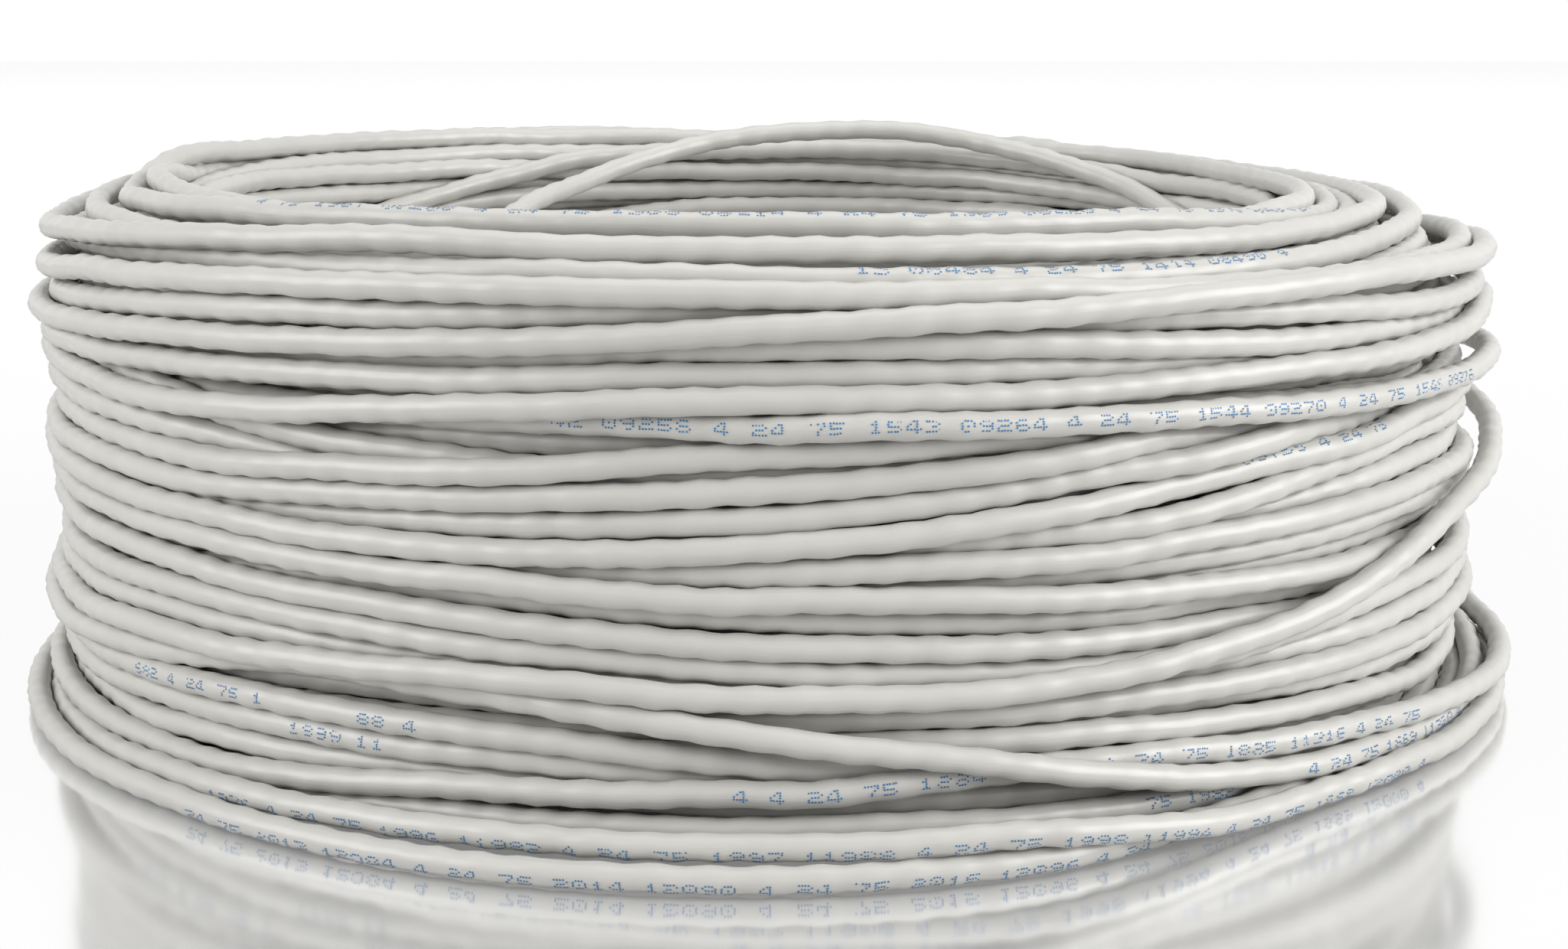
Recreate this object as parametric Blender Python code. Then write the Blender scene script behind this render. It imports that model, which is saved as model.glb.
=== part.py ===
"""A loosely wound coil of four-pair network cable, lying flat with its eye upwards.

The coil is one cable. Its bulk is two nested rings of windings, inner and outer. The turns that
stand clear of the bulk are tubes, and the two cut ends are built as the cable is made inside:
a hollow jacket round a rip cord and four twisted pairs of insulated copper wires.
Azimuths run from the front (-Y) of the coil to its right (+X), and heights from the floor.
"""

import math

import bmesh
import bpy
from mathutils import Vector

MM = 0.001

# The cable
CABLE_DIAMETER = 5.1 * MM
JACKET_WALL = 0.4 * MM
CONDUCTOR_DIAMETER = 0.51 * MM
WIRE_FIT = 0.02 * MM  # between a copper wire and its insulation, and between the wires of a pair
PAIR_LAY = 14.0 * MM  # length in which a pair makes one full twist
RIP_CORD_DIAMETER = 0.36 * MM
END_LENGTH = 8.0 * MM  # length of each cut end that is built in full

# The windings
EYE_RADIUS = 122.0 * MM
INNER_WINDINGS_DEPTH = 17.0 * MM
OUTER_WINDINGS_DEPTH = 19.2 * MM
RIM_HEIGHT = 112.5 * MM  # top of the turns round the eye
SHOULDER_HEIGHT = 99.5 * MM  # top of the outermost turns
ROW_PITCH = 4.9 * MM  # height that each turn adds where turns bed into each other
GAP = 0.3 * MM  # between solids that touch
RING_STEPS = 40

CABLE_RADIUS = CABLE_DIAMETER / 2
CORE_RADIUS = CABLE_RADIUS - JACKET_WALL
# Four pairs side by side, each two wires across, fill the core
INSULATION_DIAMETER = (CORE_RADIUS - WIRE_FIT) / (math.sqrt(2) + 1) - WIRE_FIT
PAIR_REACH = math.sqrt(2) * (INSULATION_DIAMETER + WIRE_FIT)  # from the cable's middle to a pair's
WINDINGS_RADIUS = EYE_RADIUS + INNER_WINDINGS_DEPTH + GAP + OUTER_WINDINGS_DEPTH
EYE_WALL = EYE_RADIUS * math.cos(math.pi / RING_STEPS)  # the wall of the eye mid-facet
OUTSIDE = WINDINGS_RADIUS + GAP + CABLE_RADIUS  # a turn that lies against the outer face
INSIDE = EYE_WALL - GAP - CABLE_RADIUS  # a turn that lies against the wall of the eye
ON_FLOOR = CABLE_RADIUS

# Loose turns round the outside: azimuth in degrees, stand-off from the outer face, height
BASE_TURN = [
    (-112, 0.0, ON_FLOOR),
    (-90, 0.6 * MM, ON_FLOOR),
    (-70, 2.2 * MM, ON_FLOOR),
    (-50, 5.2 * MM, ON_FLOOR),
    (-30, 8.8 * MM, ON_FLOOR),
    (-10, 11.6 * MM, ON_FLOOR),
    (10, 11.8 * MM, ON_FLOOR),
    (30, 10.0 * MM, ON_FLOOR),
    (50, 7.2 * MM, ON_FLOOR),
    (70, 4.2 * MM, ON_FLOOR),
    (90, 1.8 * MM, ON_FLOOR),
    (110, 0.4 * MM, ON_FLOOR),
    (130, 0.0, ON_FLOOR),
    (160, 0.0, ON_FLOOR),
]
SECOND_TURN = [
    (-112, 0.0, 8.3 * MM),
    (-90, 0.6 * MM, 8.3 * MM),
    (-60, 2.0 * MM, 8.1 * MM),
    (-30, 4.2 * MM, 7.4 * MM),
    (0, 6.4 * MM, 6.8 * MM),
    (30, 5.6 * MM, 6.4 * MM),
    (60, 3.4 * MM, 7.6 * MM),
    (85, 1.2 * MM, 8.3 * MM),
    (105, 0.0, 8.6 * MM),
]
CROSSING_STRAND = [
    (-80, 0.0, 22.5 * MM),
    (-60, 0.4 * MM, 24.5 * MM),
    (-40, 0.0, 26.5 * MM),
    (-20, 0.0, 27.3 * MM),
    (0, 0.0, 24.0 * MM),
    (15, 0.4 * MM, 18.2 * MM),
    (30, 0.6 * MM, 13.4 * MM),
    (50, 0.0, 13.4 * MM),
    (70, 0.0, 14.2 * MM),
    (85, 0.0, 14.6 * MM),
]
SIDE_LOOP = [
    (-80, 0.0, 29.5 * MM),
    (-60, 0.0, 31.0 * MM),
    (-40, 0.0, 32.6 * MM),
    (-20, 0.0, 33.2 * MM),
    (0, 0.0, 31.4 * MM),
    (20, 0.0, 31.2 * MM),
    (35, 0.0, 35.0 * MM),
    (50, 1.2 * MM, 43.6 * MM),
    (65, 4.6 * MM, 51.0 * MM),
    (80, 7.0 * MM, 54.8 * MM),
    (92, 7.0 * MM, 56.6 * MM),
    (104, 3.6 * MM, 57.6 * MM),
    (118, 0.0, 58.0 * MM),
]
PRINTED_TURN = [
    (-22, 0.0, 77.6 * MM),
    (0, 0.2 * MM, 78.0 * MM),
    (30, 0.4 * MM, 76.8 * MM),
    (60, 1.4 * MM, 75.6 * MM),
    (85, 2.2 * MM, 75.4 * MM),
    (110, 0.0, 76.0 * MM),
]
# The loose innermost turn, which rises across the eye: azimuth, stand-off from the wall, height
ARCH_STRAND = [
    (-8, 0.0, 84.0 * MM),
    (-22, 0.0, 85.0 * MM),
    (-38, 5.0 * MM, 87.0 * MM),
    (-58, 28.0 * MM, 89.5 * MM),
    (-82, 52.0 * MM, 91.5 * MM),
    (-112, 51.0 * MM, 94.5 * MM),
    (-141, 37.0 * MM, 100.0 * MM),
    (-160, 26.0 * MM, 107.0 * MM),
    (-177, 17.0 * MM, 112.4 * MM),
    (-195, 9.5 * MM, 114.4 * MM),
    (-212, 4.0 * MM, 111.0 * MM),
    (-229, 1.0 * MM, 103.0 * MM),
    (-242, 0.0, 95.0 * MM),
    (-256, 0.2 * MM, 88.5 * MM),
    (-270, 0.6 * MM, 85.0 * MM),
]

ROUTE_STEPS = 20  # fine steps between two stops of a route
POINT_SPACING = 2.4 * CABLE_DIAMETER
CORD_SIDES = 6
WIRE_SIDES = 8
JACKET_SIDES = 14
END_STEPS = 5

PAIR_COLOURS = {
    "blue": (0.05, 0.18, 0.55),
    "orange": (0.85, 0.32, 0.05),
    "green": (0.06, 0.38, 0.14),
    "brown": (0.26, 0.12, 0.05),
}
MATE_WHITENESS = 0.7  # how far a pair's second wire goes from the pair's colour towards white


def clear_scene():
    for obj in list(bpy.data.objects):
        bpy.data.objects.remove(obj)


def material(name, colour, roughness, metallic=0.0):
    made = bpy.data.materials.get(name) or bpy.data.materials.new(name)
    made.use_nodes = True
    shader = made.node_tree.nodes["Principled BSDF"]
    shader.inputs["Base Color"].default_value = (*colour, 1.0)
    shader.inputs["Roughness"].default_value = roughness
    shader.inputs["Metallic"].default_value = metallic
    return made


def jacket_plastic():
    return material("jacket", (0.62, 0.615, 0.585), 0.42)


def copper():
    return material("copper", (0.72, 0.36, 0.2), 0.3, 1.0)


def cord_fibre():
    return material("rip_cord", (0.8, 0.76, 0.62), 0.8)


def insulation(wire, tone, mate):
    whiteness = MATE_WHITENESS if mate else 0.0
    return material(f"{wire}_insulation", [c + (0.9 - c) * whiteness for c in tone], 0.4)


def add_object(name, data, finish, parent):
    data.materials.append(finish)
    obj = bpy.data.objects.new(name, data)
    bpy.context.scene.collection.objects.link(obj)
    obj.parent = parent
    return obj


def add_mesh(name, build, finish, parent):
    """An object whose mesh is what build makes in a bmesh."""
    mesh = bpy.data.meshes.new(name)
    made = bmesh.new()
    build(made)
    bmesh.ops.recalc_face_normals(made, faces=made.faces)
    made.to_mesh(mesh)
    made.free()
    mesh.shade_smooth()
    mesh.set_sharp_from_angle(angle=math.radians(35))
    return add_object(name, mesh, finish, parent)


def add_empty(name, location, parent=None):
    empty = bpy.data.objects.new(name, None)
    bpy.context.scene.collection.objects.link(empty)
    empty.location = location
    empty.parent = parent
    return empty


# Windings


def groove_depth(pitch):
    """How far the groove between two round turns at this pitch lies below their crests."""
    return CABLE_RADIUS - math.sqrt(CABLE_RADIUS**2 - (pitch / 2) ** 2)


def ridges(start, end, pitch):
    """Points from start to end with a crest over the middle of each turn and a groove between
    neighbours, sunk to the left of the way."""
    count = max(1, round((end - start).length / pitch))
    along = (end - start) / count
    depth = groove_depth(min(along.length, 0.96 * CABLE_DIAMETER))
    sunk = Vector((-along.y, along.x)).normalized() * depth
    points = [start + along / 2]
    for turn in range(1, count):
        points += [start + along * turn + sunk, start + along * (turn + 0.5)]
    return points


def edge_turn(centre, first_angle):
    """The quarter circle over a turn at the edge of a ring, anticlockwise."""
    angles = [math.radians(first_angle + swing) for swing in (0, 45, 90)]
    return [centre + CABLE_RADIUS * Vector((math.cos(a), math.sin(a))) for a in angles]


def rim_line(radius):
    """Height of the coil's top at this radius: it falls from the eye to the shoulder."""
    share = (radius - EYE_RADIUS) / (WINDINGS_RADIUS - EYE_RADIUS)
    return RIM_HEIGHT + (SHOULDER_HEIGHT - RIM_HEIGHT) * share


def outer_profile(inner, outer):
    """Outline (radius, height), anticlockwise, of a ring that shows its turns outside and on top."""
    edge = Vector((outer - CABLE_RADIUS, rim_line(outer) - CABLE_RADIUS))
    foot = Vector((outer, 0))
    side = ridges(foot, Vector((outer, edge.y)), ROW_PITCH)
    rim = Vector((inner, rim_line(inner)))
    lid = ridges(Vector((edge.x, rim_line(outer))), rim, CABLE_DIAMETER)
    return [Vector((inner, 0)), Vector((edge.x, 0)), *side, *edge_turn(edge, 0), *lid, rim]


def inner_profile(inner, outer):
    """Outline (radius, height), anticlockwise, of a ring that shows its turns inside and on top."""
    edge = Vector((inner + CABLE_RADIUS, rim_line(inner) - CABLE_RADIUS))
    foot = Vector((inner, 0))
    side = ridges(Vector((inner, edge.y)), foot, ROW_PITCH)
    rim = Vector((outer, rim_line(outer)))
    lid = ridges(rim, Vector((edge.x, rim_line(inner))), CABLE_DIAMETER)
    return [Vector((edge.x, 0)), Vector((outer, 0)), rim, *lid, *edge_turn(edge, 90), *side]


def turned(profile):
    """A maker for the mesh that a closed outline sweeps round the coil's axis."""

    def ring(made, angle):
        return [made.verts.new((p.x * math.cos(angle), p.x * math.sin(angle), p.y)) for p in profile]

    def build(made):
        rings = [ring(made, 2 * math.pi * step / RING_STEPS) for step in range(RING_STEPS)]
        for step, near in enumerate(rings):
            far = rings[(step + 1) % RING_STEPS]
            for i in range(len(profile)):
                j = (i + 1) % len(profile)
                made.faces.new((near[i], near[j], far[j], far[i]))

    return build


def add_windings(axis):
    seam = EYE_RADIUS + INNER_WINDINGS_DEPTH
    inner = inner_profile(EYE_RADIUS, seam)
    outer = outer_profile(seam + GAP, WINDINGS_RADIUS)
    add_mesh("inner_windings", turned(inner), jacket_plastic(), axis)
    add_mesh("outer_windings", turned(outer), jacket_plastic(), axis)


# Loose turns


def at(azimuth, radius, height):
    turn = math.radians(azimuth)
    return Vector((radius * math.sin(turn), -radius * math.cos(turn), height))


def curve_point(before, start, end, after, share):
    """A point between start and end on the smooth curve through four stops of a route."""
    t, t2, t3 = share, share**2, share**3
    return 0.5 * (
        2 * start
        + (end - before) * t
        + (2 * before - 5 * start + 4 * end - after) * t2
        + (3 * start - before - 3 * end + after) * t3
    )


def smooth(stops):
    """Evenly spaced points on a smooth curve through these stops (azimuth, radius, height)."""
    padded = [2 * stops[0] - stops[1], *stops, 2 * stops[-1] - stops[-2]]
    shares = [step / ROUTE_STEPS for step in range(ROUTE_STEPS)]
    fine = []
    for i in range(len(stops) - 1):
        fine += [at(*curve_point(*padded[i : i + 4], share)) for share in shares]
    fine.append(at(*stops[-1]))
    lengths = [(b - a).length for a, b in zip(fine, fine[1:])]
    count = round(sum(lengths) / POINT_SPACING)
    spacing = sum(lengths) / count
    even = [fine[0]]
    walked = 0.0
    for a, b, length in zip(fine, fine[1:], lengths):
        while walked + length > spacing * len(even) and len(even) < count:
            even.append(a.lerp(b, (spacing * len(even) - walked) / length))
        walked += length
    return [*even, fine[-1]]


def round_the_outside(route):
    return smooth([Vector((azimuth, OUTSIDE + off, height)) for azimuth, off, height in route])


def inside_the_eye(route):
    return smooth([Vector((azimuth, INSIDE - off, height)) for azimuth, off, height in route])


def add_strand(name, points, parent):
    curve = bpy.data.curves.new(name, "CURVE")
    curve.dimensions = "3D"
    curve.bevel_depth = CABLE_RADIUS
    curve.bevel_resolution = 2
    curve.use_fill_caps = True
    spline = curve.splines.new("POLY")
    spline.points.add(len(points) - 1)
    for spot, point in zip(spline.points, points):
        spot.co = (*point, 1.0)
    return add_object(name, curve, jacket_plastic(), parent)


# Cut ends


def tube(centres, radius, sides, bore=None):
    """A maker for a tube along x through these centres (y, z), hollow where it has a bore."""

    def ring(made, x, centre, size):
        found = []
        for side in range(sides):
            angle = 2 * math.pi * side / sides
            y, z = centre[0] + size * math.cos(angle), centre[1] + size * math.sin(angle)
            found.append(made.verts.new((x, y, z)))
        return found

    def skin(made, size):
        steps = len(centres) - 1
        rings = [ring(made, END_LENGTH * i / steps, c, size) for i, c in enumerate(centres)]
        for near, far in zip(rings, rings[1:]):
            join(made, near, far)
        return rings[0], rings[-1]

    def join(made, near, far):
        for side in range(sides):
            other = (side + 1) % sides
            made.faces.new((near[side], near[other], far[other], far[side]))

    def build(made):
        ends = skin(made, radius)
        if bore is None:
            for end in ends:
                made.faces.new(end)
            return
        for end, mouth in zip(ends, skin(made, bore)):
            join(made, end, mouth)

    return build


def wire_centres(quarter, mate):
    """The middle of one wire of a pair at each step: it winds about the pair's own middle."""
    place = math.pi / 2 * quarter
    reach = (INSULATION_DIAMETER + WIRE_FIT) / 2
    centres = []
    for step in range(END_STEPS + 1):
        along = END_LENGTH * step / END_STEPS
        twist = 2 * math.pi * along / PAIR_LAY + place + math.pi * mate
        y = PAIR_REACH * math.cos(place) + reach * math.cos(twist)
        z = PAIR_REACH * math.sin(place) + reach * math.sin(twist)
        centres.append((y, z))
    return centres


def add_pairs(name, end):
    bore = CONDUCTOR_DIAMETER / 2 + WIRE_FIT
    for quarter, (colour, tone) in enumerate(PAIR_COLOURS.items()):
        for mate, wire in enumerate((colour, f"white_{colour}")):
            centres = wire_centres(quarter, mate)
            sleeve = tube(centres, INSULATION_DIAMETER / 2, WIRE_SIDES, bore)
            add_mesh(f"{name}_{wire}_insulation", sleeve, insulation(wire, tone, mate), end)
            strand = tube(centres, CONDUCTOR_DIAMETER / 2, WIRE_SIDES)
            add_mesh(f"{name}_{wire}_conductor", strand, copper(), end)


def add_cut_end(name, strand_end, onward, axis):
    """The last stretch of the cable, which carries on from the end of a strand to its cut face."""
    end = add_empty(name, strand_end + onward * GAP, axis)
    end.rotation_euler.z = math.atan2(onward.y, onward.x)
    sleeve = tube([(0, 0), (0, 0)], CABLE_RADIUS, JACKET_SIDES, CORE_RADIUS)
    add_mesh(f"{name}_jacket", sleeve, jacket_plastic(), end)
    # The rip cord lies in the hollow between two pairs, its own radius from the jacket
    beside = (CORE_RADIUS - RIP_CORD_DIAMETER) * math.sqrt(0.5)
    cord = tube([(beside, beside), (beside, beside)], RIP_CORD_DIAMETER / 2, CORD_SIDES)
    add_mesh(f"{name}_rip_cord", cord, cord_fibre(), end)
    add_pairs(name, end)


def centred_axis(strands):
    """Where the coil's axis stands when the middle of the whole coil's box is the origin."""
    left = right = front = back = WINDINGS_RADIUS
    for point in (point for points in strands for point in points):
        left = max(left, CABLE_RADIUS - point.x)
        right = max(right, CABLE_RADIUS + point.x)
        front = max(front, CABLE_RADIUS - point.y)
        back = max(back, CABLE_RADIUS + point.y)
    return Vector(((left - right) / 2, (front - back) / 2, 0))


def main():
    clear_scene()
    strands = {
        "base_turn": round_the_outside(BASE_TURN),
        "second_turn": round_the_outside(SECOND_TURN),
        "crossing_strand": round_the_outside(CROSSING_STRAND),
        "side_loop": round_the_outside(SIDE_LOOP),
        "printed_turn": round_the_outside(PRINTED_TURN),
        "arch_strand": inside_the_eye(ARCH_STRAND),
    }
    axis = add_empty("coil_axis", centred_axis(strands.values()))
    add_windings(axis)
    for name, points in strands.items():
        add_strand(name, points, axis)
    last, before = strands["base_turn"][-1], strands["base_turn"][-2]
    add_cut_end("outer_end", last, (last - before).normalized(), axis)
    before, last = strands["arch_strand"][-2:]
    level = Vector((last.x - before.x, last.y - before.y, 0))
    add_cut_end("inner_end", last, level.normalized(), axis)


main()
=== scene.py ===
import math

import bpy
import numpy as np
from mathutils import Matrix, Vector


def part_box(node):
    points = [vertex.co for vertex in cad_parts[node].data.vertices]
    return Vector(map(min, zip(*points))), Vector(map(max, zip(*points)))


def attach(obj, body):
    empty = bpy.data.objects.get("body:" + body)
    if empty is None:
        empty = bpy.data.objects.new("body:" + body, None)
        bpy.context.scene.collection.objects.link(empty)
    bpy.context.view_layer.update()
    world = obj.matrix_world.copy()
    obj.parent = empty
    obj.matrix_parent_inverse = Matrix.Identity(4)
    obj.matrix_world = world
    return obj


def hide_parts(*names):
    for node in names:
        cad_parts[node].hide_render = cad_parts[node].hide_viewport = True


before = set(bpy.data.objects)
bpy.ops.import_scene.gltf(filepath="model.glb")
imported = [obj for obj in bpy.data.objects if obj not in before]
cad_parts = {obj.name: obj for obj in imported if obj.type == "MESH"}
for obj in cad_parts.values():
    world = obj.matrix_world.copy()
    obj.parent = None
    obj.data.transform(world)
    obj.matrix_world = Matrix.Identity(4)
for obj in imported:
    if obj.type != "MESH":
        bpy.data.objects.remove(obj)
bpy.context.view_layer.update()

# A bare coil of network cable that lies flat: one cable, wound turn upon turn.
# Azimuths are in degrees round the coil: 0 at the front, 90 at the right. Heights and radii are
# those of the cable's middle, in mm.
MM = 0.001
CABLE = 5.1  # diameter of the cable, mm
HALF = CABLE / 2
STATIONS = 96  # stations round one turn
STEP = 360 / STATIONS
START = 90.0  # azimuth of the inner end
LAST = 160.0  # azimuth of the outer end, in the last turn

# The coil's axis stands at the middle of the inner windings, on the floor of the frame
low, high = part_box("inner_windings")
AXIS = Vector(((low[0] + high[0]) / 2, (low[1] + high[1]) / 2, 0))


# ---------------------------------------------------------------- camera

CAMERA_PLACE = Vector((5.3, -560, 147))  # from the foot of the coil's axis, mm
CAMERA_DIP = 10.95  # how far it looks down, degrees
CAMERA_LENS = 55.72  # focal length, mm
SENSOR_WIDTH = 36  # mm


def make_camera():
    """Looks at the coil from the front and a little above."""
    data = bpy.data.cameras.new("camera")
    data.sensor_width = SENSOR_WIDTH
    data.lens = CAMERA_LENS
    data.clip_start = 0.01
    data.clip_end = 20
    camera = bpy.data.objects.new("camera", data)
    camera.location = AXIS + CAMERA_PLACE * MM
    camera.rotation_euler = (math.radians(90 - CAMERA_DIP), 0, 0)
    bpy.context.scene.collection.objects.link(camera)
    bpy.context.scene.camera = camera


make_camera()

# ---------------------------------------------------------------- the winding

FRONT = (-60, -40, -20, 0, 20, 40, 60)  # azimuths of the knots across the front

# Turns of the outer layers in winding order: heights, then radii, at the front azimuths
OUTER_TURNS = (
    ("shoulder_1", (96.5, 98.5, 99.5, 99.5, 98.6, 97, 97.3), (158, 158, 157, 157, 154.5, 153, 154)),
    ("second_6", (82.5, 85, 87, 89.5, 89.5, 87.5, 84.5), (152, 152, 153, 155, 157, 157, 155)),
    ("front_8", (76, 74.5, 79.5, 82, 82, 82.5, 82.5), (157, 158, 159, 157.5, 157, 158, 160)),
    ("front_6", (86, 88.5, 90.5, 93.5, 96, 97.9, 97.4), (159.5, 158, 157.5, 158.5, 159.5, 160, 161)),
    ("front_5", (90, 93.1, 95, 96.5, 93, 92, 89.8), (156.5, 156.5, 156, 152.8, 153.5, 157, 158.5)),
    ("front_7", (79.5, 82.5, 83.5, 86.5, 85.5, 84, 81.5), (156, 156.5, 156.5, 156, 156, 152, 151)),
    ("second_8", (79, 81, 80.3, 80, 79, 78.5, 78), (151, 151, 151, 150.5, 150.5, 150.5, 150.5)),
    ("printed", (75.5, 77.5, 77.3, 78.8, 77.5, 75.3, 74.5), (151, 151.5, 153, 159, 160, 160.5, 161.5)),
    ("second_10", (71, 72, 72.4, 74, 74, 72.5, 69.5), (150.5, 150.5, 151, 152, 151.5, 152, 152)),
    ("front_11", (65, 65, 67.4, 72.5, 73.5, 72, 69), (155.5, 156.5, 157, 156.5, 153, 151, 150)),
    ("front_14", (54, 56.5, 58.5, 60.3, 65.4, 71.2, 69), (151, 153.5, 156, 157, 157, 154, 151)),
    ("second_15", (49, 50.5, 51.5, 53, 56.3, 62, 63.5), (150, 151, 151.5, 153.5, 156, 156.5, 154)),
    ("front_15", (56, 55, 54.5, 55.9, 60, 66.4, 68.5), (158, 158, 157.5, 157, 156.5, 156.5, 154)),
    ("front_13", (61, 60.5, 63, 65.5, 70.1, 72, 68), (157, 157, 157, 157, 156.5, 151, 150)),
    ("front_10", (70.5, 68.2, 65, 62.5, 62.5, 62, 62), (156.5, 156.5, 152, 150.5, 150.5, 150.5, 150.5)),
    ("second_12", (80, 74, 68.4, 68, 70.5, 69.5, 66.5), (151.5, 153.5, 155, 153, 152, 150, 150)),
    ("second_16", (46, 47.5, 49.5, 51, 54, 57, 59), (149, 150, 150.5, 151, 153, 156, 155)),
    ("front_16", (45, 48.5, 52.3, 52.8, 53, 54, 55), (150, 151, 152.5, 156, 157, 157, 156.5)),
    ("front_18", (42, 45, 46.3, 43.8, 40.4, 38.5, 38), (150, 151, 153, 154.4, 153, 152.5, 151)),
    ("front_20", (38, 39, 37.5, 34, 31, 32.5, 34.5), (155, 156.5, 157, 156.5, 154.5, 155.5, 158)),
    ("second_20", (32.5, 34, 34, 30, 27, 28.5, 29), (155.5, 156.5, 155.5, 152, 152, 156.5, 158)),
    ("side_loop", (27.5, 30.7, 32.2, 30.2, 29.5, 35.8, 50.5), (158, 158, 158.5, 159, 159.5, 161, 163.5)),
    ("front_17", (49.5, 50.5, 49.9, 48.2, 45.1, 43.3, 43.5), (156, 156.5, 157, 157.5, 157.5, 157, 155)),
    ("third_17", (40, 42, 44.5, 44.5, 45, 45.5, 46), (149, 150, 150, 150.5, 151.5, 153.5, 155)),
    ("second_17", (42.5, 44.5, 47, 47.5, 47.5, 50.2, 51), (149, 150, 151, 151.5, 153, 156, 156.5)),
    ("front_19", (44, 44, 42.6, 39.3, 36.5, 35, 33.5), (155.5, 156.5, 157, 157, 156.5, 152.5, 151)),
    ("second_22", (21.5, 23.5, 24.5, 24, 25, 26, 25.5), (150, 151, 151, 152.5, 155, 157, 159)),
    ("crossing", (23.5, 27.6, 29.8, 24.4, 15.2, 6.5, 4.9), (159.3, 156.4, 154.8, 161.6, 162, 161.8, 163)),
    ("front_24", (6, 7.5, 11.5, 14.2, 16.2, 12.4, 9.2), (159, 158, 157.5, 157.5, 158.5, 160.8, 165.4)),
    ("third_23", (13.5, 16.5, 17, 14, 12, 9.5, 6), (155, 156, 156, 152, 150.5, 150.5, 150.5)),
    ("fourth_23", (13.5, 16, 18, 19, 20.7, 17.5, 12.5), (149, 150.5, 151, 152.5, 156.8, 156.8, 156)),
    ("second_23", (17.5, 19.5, 21, 22, 22.8, 21.6, 19), (149.5, 150.5, 151, 152.5, 152.3, 154.5, 156)),
    ("front_23", (17.5, 21.5, 21.5, 18, 14.5, 11.5, 8.5), (155.5, 157.5, 157, 156.5, 152, 151, 151)),
    ("fifth_23", (9, 12, 13.5, 10.5, 9.5, 6.5, 3.5), (155, 156.5, 154.5, 153, 153, 150.5, 150.5)),
    ("front_25", (2.6, 3.5, 6, 6.5, 6, 3.2, 2.6), (152, 154, 157, 158.5, 159.5, 153.5, 151.5)),
    ("second_turn", (3.5, 5, 6.5, 7.2, 7.3, 2.7, 2.6), (163, 164, 166.5, 169.3, 171.8, 164.2, 166.7)),
    ("base_turn", (2.55, 2.55, 2.55, 2.55, 2.55, 2.55, 2.55), (164, 168, 172, 173.3, 169.3, 158.8, 157.5)),
)

# Turns that lie on the rim, from the eye outwards: azimuth, height, radius all the way round
RIM_TURNS = (
    ("rim_1", ((-77, 110.6, 134), (-50, 108, 131), (-20, 105.5, 127.5), (0, 105, 126.2),
               (30, 104.5, 124), (77, 105.6, 121.7), (100, 105.2, 124), (120, 106.8, 127),
               (150, 108, 129), (180, 109.3, 130), (209, 110.9, 130.5), (236, 111.8, 131),
               (258, 112.2, 132))),
    ("rim_2", ((-77, 106.4, 141), (-60, 107.5, 139), (-30, 108.8, 135.7), (0, 108.8, 131.5),
               (30, 107.6, 127.3), (45, 105.6, 125.8), (60, 103.8, 125), (77, 103, 127.1), (110, 105, 130),
               (150, 107.5, 134), (180, 108.5, 136), (220, 109, 138), (260, 108.4, 140.5))),
    ("rim_3", ((-77, 104.9, 148.2), (-50, 103.5, 144.5), (-20, 103, 140), (0, 103, 138),
               (40, 103.2, 134), (77, 102.2, 131.5), (120, 104, 135), (180, 106, 141),
               (240, 106, 146))),
    ("rim_4", ((-90, 100, 157), (-77, 100.5, 157), (-60, 103.2, 155), (-30, 106, 150.5), (0, 106, 146),
               (30, 104.5, 141.5), (45, 104, 139.5), (60, 104.4, 138), (77, 104.2, 136.8), (120, 103, 139),
               (180, 103, 145), (240, 102, 151))),
    ("rim_5", ((-77, 98.5, 152), (-50, 101.2, 149.5), (-30, 102, 150), (-15, 102.2, 150.5),
               (0, 101.4, 150.5), (20, 99.9, 149), (30, 99.8, 148), (40, 99.8, 147), (50, 100, 146),
               (60, 101.9, 145), (77, 102.7, 144.4),
               (120, 101, 146), (180, 99, 151), (240, 98, 156))),
)

# More knots of some outer turns, mostly beyond the front: azimuth, height, radius
SIDE_KNOTS = {
    "shoulder_1": ((-77, 92.3, 157.5), (77, 98, 155.5)),
    "front_5": ((-77, 87.2, 154.9),),
    "front_6": ((-77, 82.4, 158.5), (77, 96.6, 160.2)),
    "front_8": ((77, 86.5, 158),),
    "second_6": ((77, 85, 157.5),),
    "printed": ((77, 74, 163), (88, 72.8, 162)),
    "side_loop": ((50, 42.4, 162), (73, 54, 163.6), (84, 57, 165.2), (95, 59, 166),
                  (106, 58.5, 164), (118, 57, 160)),
    "crossing": ((-30, 30.2, 154.2), (-10, 28, 158.8), (50, 5.5, 162.2), (68, 5, 162.2),
                 (84, 5.5, 161.5), (100, 7, 160)),
    "front_24": ((50, 11.6, 162.4), (66, 7.8, 167.2), (73, 6.6, 168.6), (82, 6.5, 168.8), (94, 7, 166)),
    "second_turn": ((-77, 3, 160), (26, 5, 169.8), (32, 3.3, 167), (50, 2.6, 165.6), (66, 2.6, 167.8),
                    (78, 2.6, 168), (90, 2.6, 166)),
    "base_turn": ((-120, 2.55, 162), (-100, 2.55, 162), (-77, 2.55, 161.5), (10, 2.55, 172),
                  (27, 2.55, 165.4), (77, 2.55, 158), (90, 2.55, 159.2), (110, 2.55, 160.5),
                  (130, 2.55, 161.3), (150, 2.55, 161.3), (160, 2.55, 161.3)),
}

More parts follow.
